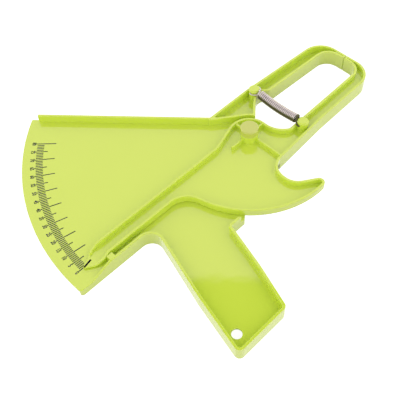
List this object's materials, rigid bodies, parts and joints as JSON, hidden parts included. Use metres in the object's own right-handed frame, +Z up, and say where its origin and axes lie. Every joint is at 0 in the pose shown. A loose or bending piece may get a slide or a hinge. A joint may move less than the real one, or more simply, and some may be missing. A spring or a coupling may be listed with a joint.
{
  "type": "skinfold caliper",
  "caption": "Plastic skinfold caliper: fan-shaped scale with pistol handle, turning lever with pointer, finger hook and closed-loop jaws drawn together by a tension spring.",
  "frame": {"origin": "on the pivot axis, at the flat underside of the pivot boss, in the plane that the caliper lies on", "axes": "+Z up, away from the face it lies on, along the pivot axis; +Y from the pivot to the jaws; +X to the handle's side"},
  "size_m": [0.2302, 0.2641, 0.019],
  "materials": {
    "frame_plastic": "moulded, satin",
    "lever_plastic": "moulded, satin",
    "cap_plastic": "moulded, satin",
    "spring_steel": "bright wire"
  },
  "bodies": {
    "frame": {"frame": "frame_plastic", "pivot_pin": "cap_plastic", "tension_spring": "spring_steel"},
    "lever": {"lever": "lever_plastic"}
  },
  "joints": [
    {"name": "lever_pivot", "type": "hinge", "parent": "frame", "child": "lever", "pos_m": [0, 0, 0], "axis": [0, 0, -1], "range_deg": [0, 45], "stiffness_Nm_per_rad": 0.2, "springref_deg": -68.75, "deforming": ["tension_spring"]}
  ]
}
